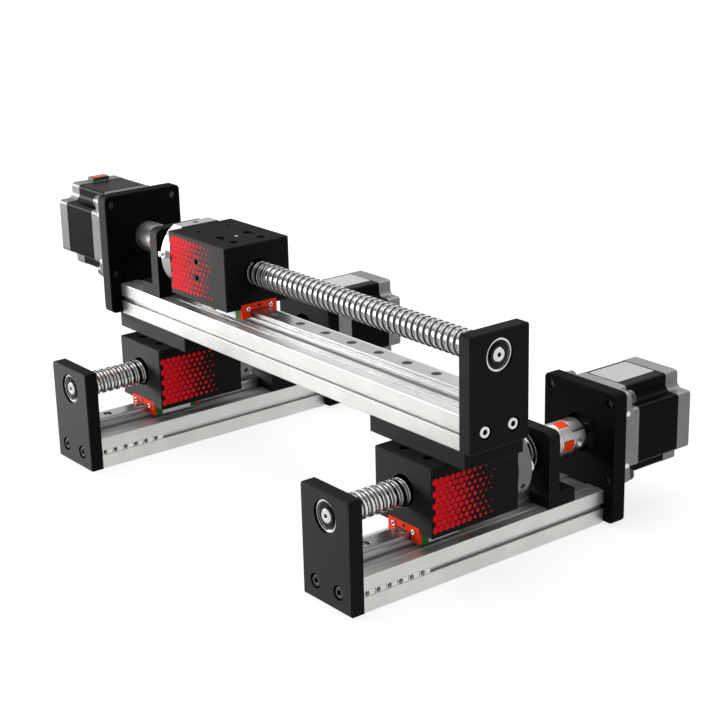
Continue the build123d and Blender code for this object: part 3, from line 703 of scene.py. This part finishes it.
# %% Geometry Nodes: a screw on each point
tree, given, result = new_rule(
    "screws_on_points",
    [
        ("Points", SHAPE, None), ("Screw", OBJECT, None), ("Finish", MATERIAL, None),
        ("Socket finish", MATERIAL, None)
    ]
)
toward = add(tree, "GeometryNodeInputNamedAttribute", {"Name": "toward"}, data_type="FLOAT_VECTOR")
turned = add(tree, "FunctionNodeAlignRotationToVector", {"Vector": toward}, axis="Z")
screw = add(tree, "GeometryNodeObjectInfo", {"Object": given["Screw"]})
placed = add(
    tree, "GeometryNodeInstanceOnPoints",
    {"Points": given["Points"], "Instance": screw.outputs["Geometry"], "Rotation": turned}
)
outside = real_with_finish(tree, placed, given["Finish"])
recess = add(tree, "GeometryNodeInputNamedAttribute", {"Name": "recess"}, data_type="BOOLEAN")
inside = add(
    tree, "GeometryNodeSetMaterial",
    {"Geometry": outside, "Selection": recess, "Material": given["Socket finish"]}
)
tree.links.new(inside.outputs[0], result[0])
SCREWS_ON_POINTS = tree


def put_screws(stage, ending, body, screw, places, material, node=None):
    """places: (u, v, w, direction of the head) for each screw, in the stage's millimetres."""
    points = bpy.data.meshes.new("points")
    points.from_pydata([place[:3] for place in places], [], [])
    toward = points.attributes.new("toward", "FLOAT_VECTOR", "POINT")
    for item, place in zip(toward.data, places):
        item.vector = place[3]
    values = {"Screw": screw, "Finish": material, "Socket finish": hole_shadow}
    made = run_tree(SCREWS_ON_POINTS, points, values)
    made.name = stage + ending
    made.transform(PLACE[stage])
    piece = add_object(stage + ending, made)
    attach(piece, body)
    if node:
        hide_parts(node)


# %% [markdown]
# The frame screws hold the end plate and the motor plate to the ends of the profile and the
# bearing bracket to its top. The motor screws come from behind, through the casting into the
# motor plate. Each keeps the place of its solid, so the heads sit in the same counterbores.

# %% Frame and motor screws
HEAD_ROOM = 4.4
frame_screw = socket_screw("frame_screw", 3.5, 4.0, 2.0, 9.0, 3.0)
motor_screw = socket_screw("motor_screw", 4.25, 4.5, 2.5, 12.6, 4.0)
small_screw = socket_screw("small_screw", 2.75, 2.8, 1.5, 3.0, 2.5)
flange_screw = socket_screw("flange_screw", 3.6, 3.2, 2.5, 9.0, 4.0)
seal_screw = socket_screw("seal_screw", 1.5, 1.0, 0.8, 2.0, 1.3)
FRAME_SPACING, FRAME_LEVEL = 10.0, 10.5
MOTOR_HALF = 23.57


def frame_places(stage):
    plate = local_box(stage, "_motor_plate")
    foot_low, foot_high = local_box(stage, "_bearing_bracket")
    foot_x = (foot_low.x + 8.0 + foot_high.x) / 2
    places = []
    for v in (-FRAME_SPACING, FRAME_SPACING):
        places.append((HEAD_ROOM, v, FRAME_LEVEL, BACK))
        places.append((plate[1].x - HEAD_ROOM, v, FRAME_LEVEL, ALONG))
        places.append((foot_x, v, foot_low.z + 8.0 - HEAD_ROOM, UP))
    return places


def motor_places(stage):
    seat = local_box(stage, "_motor_plate")[1].x + 5.0
    corners = [(a, b) for a in (-MOTOR_HALF, MOTOR_HALF) for b in (-MOTOR_HALF, MOTOR_HALF)]
    return [(seat, a, AXIS_HEIGHT + b, ALONG) for a, b in corners]


for stage in STAGES:
    kind = "y" if stage == "y" else "x"
    bright = stage == "y"
    put_screws(
        stage, "_plate_screws", GROUND[stage], frame_screw, frame_places(stage),
        bright_screw if bright else dull_screw, node=kind + "_frame_screws",
    )
    put_screws(
        stage, "_motor_bolts", GROUND[stage], motor_screw, motor_places(stage), black_screw,
        node=kind + "_motor_screws"
    )
print("frame and motor screws on all stages")

# %% [markdown]
# The rail has a screw in each of its holes, the nut has six on its flange, and the nut block has
# two rows of deep ones that go down into the runner. The frame doesn't have them, so they only
# need a body to ride on, and so do the small heads on the runner's red wipers.

# %% Rail, nut and runner screws
RAIL_FIRST, RAIL_PITCH, RAIL_TOP = 16.5, 25.0, 28.0
RUNNER_LENGTH, FLANGE_THICKNESS = 34.7, 10.0


def rail_places(stage):
    low, high = local_box(stage, "_rail")
    places = []
    u = low.x + RAIL_FIRST
    while u < high.x - 3.0:
        places.append((u, 0.0, RAIL_TOP - 4.4, UP))
        u += RAIL_PITCH
    return places


def flange_places(face):
    turns = map(around, (-45, 0, 45, 135, 180, 225))
    return [(face, 19.0 * cosine, AXIS_HEIGHT + 19.0 * sine, ALONG) for cosine, sine in turns]


def runner_places(block):
    middle = block[0].x + RUNNER_LENGTH / 2
    corners = [(a, b) for a in (-7.5, 7.5) for b in (-10.0, 10.0)]
    return [(middle + a, b, block[1].z - 6.9, UP) for a, b in corners]


def wiper_faces(block):
    return ((block[0].x, BACK), (block[0].x + RUNNER_LENGTH, ALONG))


for stage in STAGES:
    block = local_box(stage, "_nut_block")
    carriage, ground = CARRIAGE[stage], GROUND[stage]
    put_screws(stage, "_rail_screws", ground, small_screw, rail_places(stage), bright_screw)
    flange = flange_places(block[1].x + FLANGE_THICKNESS)
    put_screws(
        stage, "_flange_screws", carriage, flange_screw, flange, bright_screw
    )
    put_screws(stage, "_runner_screws", carriage, small_screw, runner_places(block), dull_screw)
    wipers = [(face, v, 29.3, way) for face, way in wiper_faces(block) for v in (-8.4, 8.4)]
    put_screws(
        stage, "_wiper_screws", carriage, seal_screw, wipers, bright_screw
    )

ADAPTER_THICKNESS = 9.2
for stage in ("x_right", "x_left"):
    block = local_box(stage, "_nut_block")
    seat = block[1].z + ADAPTER_THICKNESS - HEAD_ROOM
    places = [(block[0].x + u, v, seat, UP) for u in (20.0, 47.0) for v in (-11.5, 11.5)]
    for v in (-28.25, 33.5):
        places.append((block[0].x + 33.0, v, block[1].z + HEAD_ROOM, DOWN))
    put_screws(
        stage, "_adapter_bolts", "bridge", frame_screw, places, dull_screw, node="x_adapter_screws"
    )
print("all screws placed")

# %% [markdown]
# Each coupling hub is slit and pinched onto its shaft by one small black screw. The frame has the
# hole but not the screw. It stands across the hub, beside the shaft, and turns with it, so it
# rides on the body of the ball screw. The hubs are set a quarter turn apart.

# %% Clamp screws of the couplings
clamp_screw = socket_screw("clamp_screw", 1.8, 1.6, 1.0, 2.5, 1.5)
CLAMP_SEAT, CLAMP_OFFSET, HUB_MIDDLE = 3.6, 6.6, 4.5

for stage in STAGES:
    low, high = local_box(stage, "_coupling_hubs")
    places = []
    for u, turned_by in ((low.x + HUB_MIDDLE, 144.0), (high.x - HUB_MIDDLE, 54.0)):
        cosine, sine = around(turned_by)
        v = -CLAMP_SEAT * cosine - CLAMP_OFFSET * sine
        w = -CLAMP_SEAT * sine + CLAMP_OFFSET * cosine
        places.append((u, v, AXIS_HEIGHT + w, (0.0, -cosine, -sine)))
    put_screws(stage, "_clamp_screws", stage + "_screw", clamp_screw, places, black_screw)
print("clamp screws placed")

# %% [markdown]
# The motors carry small things that a solid leaves out: a blank paper label on the stack, a round
# cap on the rear casting and bright dowel ends beside the motor plate. A near-black ring round the
# shaft paints the shade inside the motor plate's window. A label is a thin rounded plate, because a
# bare face would flicker against the surface below it.

# %% Motor trim
STUD = [(27.6, 1.65), (28.3, 1.65), (28.7, 1.3), (28.8, 0.0)]
STUD_SPACING = 16.0


def film(bm, low, high, round_by, thickness, level, material=0):
    """A thin rounded plate that lies on level between two (u, v) corners."""
    outline = []
    corners = (high, (low[0], high[1]), low, (high[0], low[1]))
    for quarter, (a, b) in enumerate(corners):
        a += round_by if a == low[0] else -round_by
        b += round_by if b == low[1] else -round_by
        for step in range(5):
            cosine, sine = around(90.0 * quarter + 22.5 * step)
            outline.append((a + round_by * cosine, b + round_by * sine))
    middle = ((low[0] + high[0]) / 2, (low[1] + high[1]) / 2)
    layers = []
    for height, inset in ((0.0, 0.0), (0.7, 0.0), (1.0, 0.25)):
        inset, top, layer = inset * thickness, level + thickness * height, []
        for a, b in outline:
            a += math.copysign(inset, middle[0] - a)
            b += math.copysign(inset, middle[1] - b)
            layer.append(bm.verts.new((a, b, top)))
        layers.append(layer)
    sides = []
    for first, second in zip(layers, layers[1:]):
        for step, corner in enumerate(first):
            sides.append((corner, first[step - 1], second[step - 1], second[step]))
    for corners in (*sides, layers[0], layers[-1]):
        bm.faces.new(corners).material_index = material


for stage in STAGES:
    stack_low, stack_high = local_box(stage, "_motor_stack")
    back = local_box(stage, "_motor_rear_cap")[1].x
    front = local_box(stage, "_motor_plate")[1].x
    bm = bmesh.new()
    if stage != "y":
        low, high = (stack_low.x + 1.2, -9.5), (stack_high.x - 1.0, 14.0)
        film(bm, low, high, 1.2, 0.08, stack_high.z + 0.02)
    # painted shade: a near-black ring inside the motor plate's window
    window_shade_outline = [
        (front - 2.0, 3.6), (front - 2.3, 3.9), (front - 2.3, 11.2), (front - 2.0, 11.6),
        (front - 1.7, 11.6), (front - 1.7, 3.6)
    ]
    turn(bm, window_shade_outline, closed=True, material=1)
    rear = [
        (back - 0.3, 0.0), (back - 0.25, 4.6), (back - 0.05, 5.0), (back - 0.05, 8.6),
        (back - 0.30, 9.0), (back - 0.60, 9.0), (back - 0.60, 0.0)
    ]
    turn(bm, rear, material=2)
    for way in (-1.0, 1.0):
        for level in (-STUD_SPACING, STUD_SPACING):
            foot = (front + 2.2, 0.0, AXIS_HEIGHT + level)
            turn(bm, STUD, foot, (0.0, way, 0.0), segments=12, side=ALONG, material=3)
    finishes = [paper_label, window_shade_ring, casting[stage], bright_screw]
    trim = to_object(stage + "_motor_trim", bm, stage, finishes)
    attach(trim, GROUND[stage])
print("motor trim added")

# %% [markdown]
# Last come the fittings that are too small for the frame: the grease nipple and oil ports of the
# nuts, the small holes in the wipers, the set screws that clamp the slot nuts, the polished rims of
# the bearing retainers and the red insert in the upper motor's plug socket.

# %% Small fittings
NIPPLE = [
    (0.0, 3.0), (2.0, 3.0), (2.4, 2.6), (2.4, 1.3), (3.6, 1.2), (4.1, 1.9), (4.7, 1.7), (5.0, 0.9),
    (5.0, 0.0)
]
FLANGE_RADIUS, FLANGE_FLAT = 24.0, 20.0
SLOT_NUTS, SLOT_NUT_PITCH = 6, 7.6
nut_set_screw = socket_screw("nut_set_screw", 1.42, 1.5, 0.9, 0.4, 1.8)


def small_part(bm, outline, place, toward, material=0):
    turn(bm, outline, place, toward, segments=16, material=material)


def spot(radius, height=0.05):
    return [(0.0, radius), (height, radius - height), (height, 0.0)]


def on_flange(u, radius, slope):
    """A place on the nut's round flange and the direction out of it; slope is in degrees."""
    way = Vector((0.0, *around(slope)))
    return Vector((u, 0.0, AXIS_HEIGHT)) + radius * way, way


for stage in STAGES:
    block = local_box(stage, "_nut_block")
    bm = bmesh.new()
    flange_middle = block[1].x + FLANGE_THICKNESS / 2
    if stage == "y":
        small_part(bm, NIPPLE, *on_flange(flange_middle, FLANGE_RADIUS - 0.2, 7.5))
        port = (flange_middle, 0.0, AXIS_HEIGHT + FLANGE_FLAT)
        small_part(bm, spot(1.7), port, UP, material=1)
        small_part(bm, spot(1.0), (block[0].x + 22.0, 0.0, block[1].z), UP)
    else:
        small_part(bm, spot(1.7), *on_flange(flange_middle, FLANGE_RADIUS, 203.0), material=1)
    for face, way in wiper_faces(block):
        for v, w, radius in ((0.0, 30.6, 1.1), (-5.2, 27.8, 0.6), (5.2, 27.8, 0.6)):
            small_part(bm, spot(radius), (face, v, w), way, material=1)
    fittings = to_object(stage + "_carriage_fittings", bm, stage, [bright_screw, hole_shadow])
    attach(fittings, CARRIAGE[stage])

    face = local_box(stage, "_bearing_bracket")[0].x - RETAINER
    bm = bmesh.new()
    inner_rim = [(face - 0.12, 8.75), (face - 0.12, 9.5), (face + 0.2, 9.65), (face + 0.2, 8.6)]
    outer_rim = [
        (face - 0.03, 11.9), (face - 0.03, 12.35), (face + 0.25, 12.56), (face + 0.25, 11.9)
    ]
    turn(bm, inner_rim, closed=True)
    turn(bm, outer_rim, closed=True)
    if stage == "y":
        plug_low, plug_high = local_box("y", "_motor_connector")
        low, high = (plug_low.x + 1.4, plug_low.y + 1.4), (plug_high.x - 1.4, plug_high.y - 1.4)
        film(bm, low, high, 0.5, 0.9, plug_low.z + 1.25, material=1)
    rims = to_object(stage + "_polished_rims", bm, stage, [bearing_steel, red_wiper])
    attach(rims, GROUND[stage])
    if stage != "y":
        first = local_box(stage, "_end_plate")[1].x + 2.3
        steps = [first + SLOT_NUT_PITCH * number for number in range(SLOT_NUTS)]
        places = [(u, -18.4, 10.9, (0.0, -1.0, 0.0)) for u in steps]
        put_screws(
            stage, "_set_screws", "base", nut_set_screw, places, bright_screw
        )
print("small fittings added")

# %% [markdown]
# Each nut block has a red print on the side toward the viewer: a plain field of hexagons that
# shrink and thin out toward one end. They follow a rule: rows half a step apart, a size that
# falls with the distance from the dense end and a seeded chance to drop out, so Geometry Nodes
# makes the field. Each hexagon is a flat flake just above the coat, like screen ink.

# %% Geometry Nodes: a fading field of hexagons
tree, given, result = new_rule(
    "hexagon_field",
    [
        ("Width", FLOAT, 40.0), ("Height", FLOAT, 32.0), ("Step", FLOAT, 4.0),
        ("Fill", FLOAT, 0.545), ("Fade", FLOAT, 1.0), ("Drop", FLOAT, 0.3), ("Seed", INTEGER, 1),
        ("Ink", MATERIAL, None)
    ]
)
row_step = calc("MULTIPLY", given["Step"], math.sqrt(3) / 2)
columns = calc("FLOOR", calc("DIVIDE", given["Width"], given["Step"]))
rows = calc("FLOOR", calc("DIVIDE", given["Height"], row_step))
grid = add(
    tree, "GeometryNodeMeshGrid",
    {
        "Size X": calc("MULTIPLY", calc("SUBTRACT", columns, 1.0), given["Step"]),
        "Size Y": calc("MULTIPLY", calc("SUBTRACT", rows, 1.0), row_step), "Vertices X": columns,
        "Vertices Y": rows
    }
)
where = add(tree, "ShaderNodeSeparateXYZ", {0: add(tree, "GeometryNodeInputPosition")})
low = calc("MULTIPLY", calc("SUBTRACT", rows, 1.0), calc("MULTIPLY", row_step, 0.5))
row = calc("ROUND", calc("DIVIDE", calc("ADD", where.outputs[1], low), row_step))
odd = calc("MODULO", row, 2.0)
sideways = calc("MULTIPLY", calc("SUBTRACT", odd, 0.5), calc("MULTIPLY", given["Step"], 0.5))
moved = add(
    tree, "GeometryNodeSetPosition",
    {"Geometry": grid, "Offset": add(tree, "ShaderNodeCombineXYZ", {0: sideways})}
)
share = calc("ADD", calc("DIVIDE", where.outputs[0], given["Width"]), 0.5, clamp=True)
luck = add(tree, "FunctionNodeRandomValue", {"Seed": given["Seed"]}, data_type="FLOAT")
chance = next(socket for socket in luck.outputs if socket.enabled)
size = calc("SUBTRACT", 1.0, calc("MULTIPLY", calc("POWER", share, 2.2), given["Fade"]))
size = calc("SUBTRACT", size, calc("MULTIPLY", calc("MULTIPLY", chance, share), given["Drop"]))
shown = calc("GREATER_THAN", size, 0.22)
hexagon = add(tree, "GeometryNodeMeshCircle", {"Vertices": 6, "Radius": 1.0}, fill_type="NGON")
radius = calc("MULTIPLY", calc("MULTIPLY", size, given["Fill"]), given["Step"])
flakes = add(
    tree, "GeometryNodeInstanceOnPoints",
    {
        "Points": moved, "Selection": shown, "Instance": hexagon,
        "Rotation": (0.0, 0.0, math.radians(30.0)),
        "Scale": add(tree, "ShaderNodeCombineXYZ", {0: radius, 1: radius, 2: radius})
    }
)
inked = real_with_finish(tree, flakes, given["Ink"])
tree.links.new(inked.outputs[0], result[0])
HEXAGONS = tree

# %% [markdown]
# The field is made flat and then stood against the block: on the lower stages it faces -v, on the
# cross stage +v, and it keeps clear of the two threaded holes there.

# %% Prints on the nut blocks
INK_HEIGHT = 0.06
CLEAR_OF_HOLE = 2.6


def put_print(stage, side, begin, end, low, high, seed, holes=()):
    """Dense at u = begin, thin at u = end, and from w = low to w = high."""
    field = run_tree(
        HEXAGONS, bpy.data.meshes.new("seed"),
        {"Width": abs(end - begin), "Height": high - low, "Seed": seed, "Ink": red_ink}
    )
    block = local_box(stage, "_nut_block")
    level = (block[0].y - INK_HEIGHT) if side < 0 else (block[1].y + INK_HEIGHT)
    along = 1.0 if end > begin else -1.0
    upright = Matrix.Translation(((begin + end) / 2, level, (low + high) / 2))
    upright @= Matrix(((along, 0, 0), (0, 0, 1), (0, 1, 0))).to_4x4()
    bm = bmesh.new()
    bm.from_mesh(field)
    bm.transform(upright)
    covered = []
    for face in bm.faces:
        middle = face.calc_center_median()
        if any(math.dist((middle.x, middle.z), hole) < CLEAR_OF_HOLE for hole in holes):
            covered.append(face)
    bmesh.ops.delete(bm, geom=covered, context="FACES")
    outward = Vector((0.0, float(side), 0.0))
    for face in bm.faces:
        face.normal_update()
        if face.normal.dot(outward) < 0:
            face.normal_flip()
    name = stage + "_printed_pattern"
    mesh = to_mesh(name, bm)
    mesh.transform(PLACE[stage])
    mesh.materials.append(red_ink)
    piece = add_object(name, mesh)
    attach(piece, CARRIAGE[stage])
    print(stage, "print of", len(mesh.polygons), "hexagons")


for stage, seed in (("x_right", 3), ("x_left", 8)):
    start = local_box(stage, "_nut_block")[0].x
    put_print(stage, -1, start + 1.0, start + 50.0, 31.5, 65.5, seed)
start = local_box("y", "_nut_block")[0].x
side_holes = [(start + 32.0, level) for level in (45.5, 56.0)]
put_print("y", 1, start + 62.0, start + 8.0, 33.0, 68.5, 5, side_holes)

# %% [markdown]
# The floor is a pale sheet, part lamp and part paper. To the camera and in the metal it is nearly
# white by itself, and the lamps give the rest, so the object still leaves a soft shadow on it.

# %% Floor
def seen_directly(tree):
    """1 for what the camera or a mirror sees, 0 for the light that falls on the object."""
    path = add(tree, "ShaderNodeLightPath").outputs
    seen = calc("ADD", path["Is Camera Ray"], path["Is Glossy Ray"], clamp=True)
    return calc("ADD", seen, path["Is Transmission Ray"], clamp=True)


bpy.ops.mesh.primitive_plane_add(size=14.0, location=(0, 0, -0.0002))
floor = bpy.context.object
floor.name = "floor"
material = bpy.data.materials.new("pale_paper")
material.use_nodes = True
tree = material.node_tree
tree.nodes.remove(tree.nodes["Principled BSDF"])
seen = seen_directly(tree)
paper = add(tree, "ShaderNodeBsdfDiffuse", {"Color": (0.62, 0.62, 0.62, 1.0)})
thin = add(tree, "ShaderNodeBsdfDiffuse", {"Color": (0.24, 0.24, 0.24, 1.0)})
place = add(tree, "ShaderNodeTexCoord").outputs["Object"]
away = add(tree, "ShaderNodeVectorMath", {0: place}, operation="LENGTH").outputs["Value"]
limits = {"From Min": 0.5, "From Max": 1.6, "To Min": 0.80, "To Max": 1.0}
rise = add(tree, "ShaderNodeMapRange", {"Value": away, **limits})
glow = add(tree, "ShaderNodeEmission", {"Color": (1.0, 1.0, 1.0, 1.0), "Strength": rise})
lit = add(tree, "ShaderNodeAddShader", {0: thin, 1: glow})
mix = add(tree, "ShaderNodeMixShader", {0: seen, 1: paper, 2: lit})
tree.links.new(mix.outputs[0], tree.nodes["Material Output"].inputs["Surface"])
floor.data.materials.append(material)

# %% [markdown]
# The light of a product studio: one large panel at the left and a little behind, which draws the
# long bright faces, a wide one overhead, and weak ones from behind, from the right and from the
# front. The world is a soft grey fill, and white where the metal mirrors it.

# %% Light
def panel(name, place, size, power, aim=(0, 0, 0.08)):
    light = bpy.data.lights.new(name, "AREA")
    light.shape = "RECTANGLE"
    light.size, light.size_y = size
    light.energy = power
    lamp = add_object(name, light)
    lamp.location = place
    lamp.rotation_euler = (Vector(aim) - Vector(place)).to_track_quat("-Z", "Y").to_euler()
    lamp.visible_camera = False


panel("left_panel", (-1.2, 2.33, 0.44), (1.8, 0.9), 82.0)
panel("top_panel", (-0.2, 0.2, 1.7), (1.4, 1.4), 14.0, aim=(0, 0, 0))
panel("back_strip", (-0.15, 1.15, 1.0), (0.6, 0.35), 2.6)
panel("right_strip", (0.95, 0.15, 1.05), (1.5, 0.6), 7.0)
panel("front_panel", (0.5, -1.7, 0.7), (0.8, 0.8), 1.2)


world = bpy.data.worlds.new("studio")
bpy.context.scene.world = world
world.use_nodes = True
tree = world.node_tree
strength = calc("MULTIPLY_ADD", seen_directly(tree), 0.55, 0.45)
background = tree.nodes["Background"]
background.inputs["Color"].default_value = (1.0, 1.0, 1.0, 1.0)
tree.links.new(strength, background.inputs["Strength"])
bpy.context.scene.view_settings.view_transform = "Standard"

# %% [markdown]
# The camera stands where the photograph was taken: in front and to the left, a little above. Its
# place, its turn and its lens were worked out from about fifty points on the object.

# %% Camera
CAMERA_PLACE = Vector((-0.60991, -0.82357, 0.40701))
CAMERA_ANGLES = (-37.83, 18.35, -1.40)  # round the object, upward and tilted, in degrees


(east, north), (level, height), (upright, tilt) = map(around, CAMERA_ANGLES)
back = Vector((north * level, -east * level, height))
sideways = Vector((east, north, 0.0))
over = back.cross(sideways)
right, up = upright * sideways + tilt * over, upright * over - tilt * sideways
data = bpy.data.cameras.new("camera")
data.sensor_width = 36.0
data.lens = 85.05
data.clip_end = 50.0
camera = add_object("camera", data)
turned = Matrix((right, up, back)).transposed().to_4x4()
camera.matrix_world = Matrix.Translation(CAMERA_PLACE) @ turned
bpy.context.scene.camera = camera
